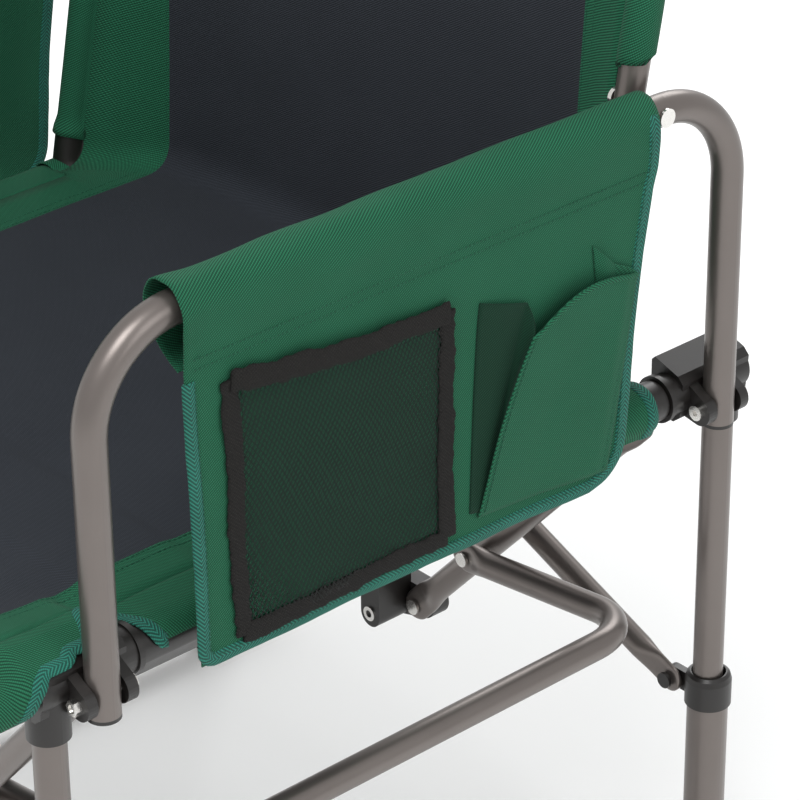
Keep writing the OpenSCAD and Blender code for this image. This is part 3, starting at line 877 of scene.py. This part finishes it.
def back_y(z):
    """How far back the leaning uprights' middle is at height z."""
    mid = (BACK_LOW + BACK_HIGH) / 2
    return mid.y - Y0 + (z - mid.z) * math.tan(BACK_LEAN)


def back_wrap(z):
    """How far the back cloth reaches round the upright. It is cut away where the arm tube is bolted on."""
    below = step_between(z, ARM_Z - 34 * MM, ARM_Z - 20 * MM)
    cut = below * (1 - step_between(z, ARM_Z + 20 * MM, ARM_Z + 34 * MM))
    return lerp(54 * MM, 0.5 * MM, cut)


BACK_FLAT = RAIL_X - 14 * MM
FOOT_Z = RAIL_Z + 14 * MM


def back_point(x, z, run=None):
    """Back cloth at x from the centre, or run metres past the flat part round the upright."""
    y = back_y(z)
    r = UPRIGHT_R + lerp(5.5 * MM, 2.2 * MM, step_between(z, FOOT_TOP - 2 * MM, FOOT_TOP + 14 * MM))
    if run is None:
        wide = 1 - min(abs(x) / BACK_FLAT, 1.0) ** 9
        belly = 54 * MM * wide * max(0.0, 1 - (z - FOOT_Z) / 0.37) ** 1.2
        sag = 8 * MM * (1 - (x / BACK_FLAT) ** 2)
        fold = 2.2 * MM * noise.noise(Vector((x * 6, z * 6, 4.2))) * wide
        return at(x, y + belly + sag + fold, z)
    s = math.copysign(1, x)
    wobble = 1 + 0.05 * noise.noise(Vector((z * 22, run * 60, s)))
    if run < 3 * MM:
        return at(s * (BACK_FLAT + run * 0.5), y, z)
    angle = math.pi - (run - 3 * MM) / r
    return at(s * (RAIL_X + r * wobble * math.cos(angle)), y - r * wobble * math.sin(angle), z)


FILLET = 24 * MM
FILLET_ROWS = 9


def cloth_rows():
    """Where each row of the one cloth lies: on the seat, in the fold at its back, or on the back."""
    rows = [("seat", lerp(-NOSE_Y + 1 * MM, SEAT_BACK, k / 120)) for k in range(121)]
    rows += [("reach", k / 9) for k in range(1, 10)]
    rows += [("fold", k / FILLET_ROWS) for k in range(1, FILLET_ROWS)]
    rows += [("back", lerp(FOOT_Z + FILLET, BACK_TOP - 4 * MM, k / 92)) for k in range(93)]
    return rows


def cloth_point(kind, value, x, run=None):
    """Point of the seat-and-back cloth. On the back, x spreads a little to reach the uprights."""
    spread = x * lerp(1.0, BACK_FLAT / FLAT_END, step_between(abs(x), BAND, FLAT_END))
    inner = math.copysign(min(abs(spread) + (run or 0) * 0.5, BACK_FLAT), x)
    if kind == "seat":
        return seat_point(x, value, run)
    if kind == "back":
        return back_point(spread, value, run)
    start = seat_point(x, SEAT_BACK)
    above = back_point(spread, FOOT_Z + FILLET)
    corner = Vector((above.x, above.y, start.z))
    ahead = Vector((corner.x, max(corner.y - FILLET, start.y + 0.5 * MM), start.z))
    if kind == "reach":
        p = start.lerp(ahead, value)
    else:
        p = (1 - value) ** 2 * ahead + 2 * value * (1 - value) * corner + value ** 2 * above
    if run is not None:
        p.x = CX + inner
    return p


def build_cloth():
    """The one cloth of seat and back: the part between the sides, and a sleeve on each side's tubes."""
    table = cloth_rows()
    half = [FLAT_END * k / 22 for k in range(1, 23)]
    half = sorted([x for x in half if abs(x - BAND) > 5 * MM] + [BAND])
    xs = [-x for x in reversed(half)] + [0.0] + half
    wraps = 18
    rows, cloth, length = [], [], 0.0
    before = None
    for kind, value in table:
        reach = {"seat": wrap_length, "back": back_wrap}.get(kind, lambda v: 0.5 * MM)(value)
        row, uvs = [], []
        mid = cloth_point(kind, value, 0.0)
        if before is not None:
            length += (mid - before).length
        before = mid
        for k in range(wraps, 0, -1):
            row.append(cloth_point(kind, value, -FLAT_END, reach * k / wraps))
            uvs.append((-FLAT_END - reach * k / wraps, length))
        for x in xs:
            row.append(cloth_point(kind, value, x))
            uvs.append((x, length))
        for k in range(1, wraps + 1):
            row.append(cloth_point(kind, value, FLAT_END, reach * k / wraps))
            uvs.append((FLAT_END + reach * k / wraps, length))
        rows.append(row)
        cloth.append(uvs)
    width = len(rows[0])

    def part(name, first, last, body, slot, *nodes):
        """The cloth's columns from first up to last, as a piece of their own."""
        piece = add_sheet(
            name, [row[first:last] for row in rows], [uvs[first:last] for uvs in cloth], 1.1 * MM,
            [CHARCOAL, GREEN], body, choose=lambda c: 1 if abs(c.x - CX) > BAND else 0,
        )
        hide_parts(*nodes)
        return piece

    between = part(
        "seat_and_back_cloth", wraps, width - wraps, "side_left", "charcoal_fabric",
        "seat_sling", "back_sling",
    )
    sleeves = {
        "left": part(
            "cloth_sleeve_left", width - wraps - 1, width, "side_left", "green_fabric",
            "seat_sleeve_left",
        ),
        "right": part(
            "cloth_sleeve_right", 0, wraps + 1, "side_right", "green_fabric", "seat_sleeve_right",
        ),
    }
    extras = []
    up = Vector((0, 0, 1))
    for side, s in (("left", 1), ("right", -1)):
        edge, ups = [], []
        for k in range(81):
            y = lerp(JOINT_FRONT - 19 * MM, JOINT_BACK + 16 * MM, k / 80)
            edge.append(seat_point(s * FLAT_END, y, wrap_length(y)))
        path = along(edge, 3 * MM)
        for p in path:
            d = Vector((p.x - CX - s * RAIL_X, 0, p.z - RAIL_Z))
            inner = step_between(abs(p.x - CX), RAIL_X - 8 * MM, RAIL_X + 6 * MM)
            ups.append(up.lerp(d.normalized(), inner).normalized())
        bound = add_tape(f"seat_cutout_tape_{side}", path, ups, f"side_{side}", 5 * MM, 1.5 * MM)
    front = [seat_point(x, -NOSE_Y + 1 * MM) for x in xs]
    extras.append(add_tape("seat_front_tape", along(front, 4 * MM), up, "side_left", 5 * MM, 1.5 * MM))
    facing = Vector((0, -1, 0.19)).normalized()
    top = [back_point(x, BACK_TOP - 4 * MM) for x in xs]
    extras.append(add_tape("back_top_tape", along(top, 4 * MM), facing, "side_left", 5 * MM, 1.5 * MM))
    lines = []
    for x in (-BAND - 2 * MM, -BAND - 9 * MM, BAND + 2 * MM, BAND + 9 * MM):
        line = []
        for kind, value in table:
            lift = {"seat": up, "reach": up, "back": facing}.get(kind, (up + facing).normalized())
            line.append(cloth_point(kind, value, x) + lift * 0.75 * MM)
        lines.append(line)
    extras.append(add_stitches("cloth_stitches", lines, "side_left", (up + facing).normalized()))
    return between, extras, length


seat_cloth, cloth_extras, cloth_length = build_cloth()

def build_tail(side, s):
    """End of the seat cloth's sleeve, round the rail just ahead of the rear joint, with its taped end."""
    start, end = SEAT_BACK - 2 * MM, ARM_Y - 58 * MM
    rows, cloth = [], []
    for i in range(25):
        y = lerp(start, end, i / 24)
        row, uvs = [], []
        for j in range(33):
            turn = lerp(-1.25, 3.0 - 0.35 * i / 24, j / 32)
            wobble = 1 + 0.05 * noise.noise(Vector((y * 30, turn, s)))
            r = 16.4 * MM * wobble + 1.2 * MM * step_between(i / 24, 0.6, 1)
            drop = 2.5 * MM if turn > 2.4 else 0
            row.append(at(s * (RAIL_X + r * math.sin(turn)), y, RAIL_Z + r * math.cos(turn) - drop))
            uvs.append((turn * r, y))
        rows.append(row)
        cloth.append(uvs)
    obj = add_sheet(f"seat_tail_{side}", rows, cloth, 1.0 * MM, [GREEN], f"side_{side}")
    ups = [Vector((p.x - CX - s * RAIL_X, 0, p.z - RAIL_Z)).normalized() for p in rows[-1]]
    bound = add_tape(f"seat_tail_tape_{side}", rows[-1], ups, f"side_{side}", 5 * MM, 1.5 * MM)


build_tail("left", 1)
build_tail("right", -1)


# The cloth between the side frames, with its tapes and stitches, gets a mesh copy of its own; it rides on
# the left side frame, its sleeves on their own tubes
for piece in [seat_cloth] + cloth_extras:
    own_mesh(piece)


# ---------------------------------------------------------------- pressed tubes
def tube_section(r, thick, d, press, tip):
    """Ring of a tube at distance d from its nearer end, pressed flat near that end."""
    flat = 1 - step_between(d, press, press + 22 * MM)
    half_t = lerp(r, thick / 2, flat)
    half_w = lerp(r, r * 1.24, flat)
    if d < tip:
        half_w *= math.sqrt(max(1 - ((tip - d) / tip) ** 2, 0.02))
    return ring(half_w, half_t, 28, lerp(2.0, 2.7, flat))


def pressed_tube(name, path, up, r, thick, press, tip, body, nodes, material=STEEL):
    """A tube along path whose two ends are pressed flat, thin along up."""
    lengths = [0.0]
    for a, b in zip(path, path[1:]):
        lengths.append(lengths[-1] + (b - a).length)
    total = lengths[-1]

    def section(i):
        d = min(lengths[i], total - lengths[i])
        return tube_section(r, thick, d, press, tip)
    obj = add_loft(name, path, up, section, material, body)
    if nodes:
        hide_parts(*nodes)
    return obj


def bar_path(a, b, over):
    """Straight path that runs over both pins, closely spaced at the ends."""
    d = (b - a).normalized()
    a, b = a - d * over, b + d * over
    n = 60
    return [a.lerp(b, 0.5 - 0.5 * math.cos(math.pi * k / n)) for k in range(n + 1)]


Y_AXIS = Vector((0, 1, 0))
for side, s in (("left", 1), ("right", -1)):
    hub = PINS["hub_turn"] if s > 0 else PINS["link_turn_right"]
    top = PINS["fold"] if s > 0 else PINS["side_turn_right"]
    for place, f in (("rear", 1), ("front", -1)):
        a = Vector((hub.x, Y0 + f * LINK_Y, hub.z))
        b = Vector((top.x, Y0 + f * LINK_Y, top.z))
        node = [f"links_{side}"] if f > 0 else []
        pressed_tube(
            f"link_tube_{side}_{place}", bar_path(a, b, 11.5 * MM), Y_AXIS, LINK_R, 7.6 * MM, 24 * MM,
            12.5 * MM, f"link_{side}", node,
        )

for side, s in (("left", 1), ("right", -1)):
    low, high = box(f"bail_{side}")
    pin = PINS[f"bail_turn_{side}"]
    half_y = (high.y - low.y) / 2 - LINK_R
    far = Vector(((high.x if s > 0 else low.x) - s * LINK_R, Y0, high.z - LINK_R))
    reach = Vector((far.x - pin.x, 0, far.z - pin.z))
    d = reach.normalized()
    bend = 40 * MM
    path = []
    for f in (-1, 1):
        leg = []
        start = Vector((pin.x, Y0 + f * half_y, pin.z)) - d * 11 * MM
        turn_at = Vector((pin.x, Y0 + f * half_y, pin.z)) + d * (reach.length - bend)
        for k in range(41):
            leg.append(start.lerp(turn_at, 1 - math.cos(math.pi / 2 * k / 40)))
        for k in range(1, 17):
            angle = math.pi / 2 * k / 16
            inward = Vector((0, -f * bend * (1 - math.cos(angle)), 0))
            leg.append(turn_at + d * bend * math.sin(angle) + inward)
        path.append(leg)
    mid = [path[0][-1].lerp(path[1][-1], k / 12) for k in range(1, 12)]
    whole = path[0] + mid + path[1][::-1]
    up_list = []
    for i, t in enumerate(turns(whole)):
        normal = d.cross(Y_AXIS).normalized()
        up_list.append(t.cross(normal).normalized())
    pressed_tube(
        f"bail_tube_{side}", whole, up_list, LINK_R, 8.5 * MM, 14 * MM, 11.5 * MM, f"bail_{side}",
        [f"bail_{side}"],
    )

apex = middle("apex_rivet")
for side, s in (("left", 1), ("right", -1)):
    pin = PINS[f"brace_turn_{side}"]
    y = middle(f"brace_{side}").y
    a = Vector((pin.x, y, pin.z))
    b = Vector((CX, y, apex.z))
    pressed_tube(
        f"brace_tube_{side}", bar_path(a, b, 10.5 * MM), Y_AXIS, 9 * MM, 4.8 * MM, 22 * MM, 11 * MM,
        f"brace_{side}", [f"brace_{side}"],
    )


# ---------------------------------------------------------------- finishes on the CAD parts
FINISH = {
    "bronze_tube": STEEL, "black_plastic": PLASTIC, "bright_fasteners": BRIGHT, "spring_steel": SPRING,
    "green_fabric": GREEN, "charcoal_fabric": CHARCOAL, "mesh_fabric": EDGING,
}
for part in frame["record"]["subparts"]:
    node = frame["nodes"][part["node"]]
    for material_slot in node.material_slots:
        material_slot.link = "OBJECT"
        material_slot.material = FINISH[part["material_slot"]]
    if part["material_slot"] == "black_plastic":
        bevel = node.modifiers.new("edge", "BEVEL")
        bevel.width = 1.6 * MM
        bevel.segments = 3
        bevel.limit_method = "ANGLE"
        bevel.angle_limit = math.radians(32)
        bevel.harden_normals = False
    if part["material_slot"] == "bright_fasteners":
        bevel = node.modifiers.new("edge", "BEVEL")
        bevel.width = 0.9 * MM
        bevel.segments = 3
        bevel.limit_method = "ANGLE"
        bevel.angle_limit = math.radians(40)


# ---------------------------------------------------------------- floor and light
def floor():
    mesh = bpy.data.meshes.new("floor")
    mesh.from_pydata([(-14, -14, 0), (14, -14, 0), (14, 14, 0), (-14, 14, 0)], [], [(0, 1, 2, 3)])
    m = Nodes("floor_paper")
    m.set(color=rgb(0.985, 0.992, 0.99), rough=0.9, specular=0.1)
    mesh.materials.append(m.material)
    obj = bpy.data.objects.new("floor", mesh)
    bpy.context.scene.collection.objects.link(obj)
    obj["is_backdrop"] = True


def area_light(name, place, target, size, power, tint=(1, 1, 1)):
    data = bpy.data.lights.new(name, "AREA")
    data.shape = "RECTANGLE"
    data.size, data.size_y = size
    data.energy = power
    data.color = tint
    obj = bpy.data.objects.new(name, data)
    bpy.context.scene.collection.objects.link(obj)
    obj.location = place
    obj.rotation_euler = (Vector(target) - Vector(place)).to_track_quat("-Z", "Y").to_euler()


floor()
area_light("key", (0.9, -1.5, 3.5), (0, 0, 0.5), (1.6, 1.6), 66)
area_light("side", (3.4, 0.4, 2.2), (0.1, 0, 0.5), (1.2, 2.0), 22)
area_light("back", (-1.6, 3.0, 2.6), (0, 0, 0.6), (2.0, 1.2), 42)
world = bpy.data.worlds.new("studio")
world.use_nodes = True
world.node_tree.nodes["Background"].inputs[0].default_value = (1.0, 1.0, 1.0, 1.0)
world.node_tree.nodes["Background"].inputs[1].default_value = 0.82
bpy.context.scene.world = world
bpy.context.scene.view_settings.view_transform = "Standard"
bpy.context.scene.view_settings.look = "None"

low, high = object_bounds()
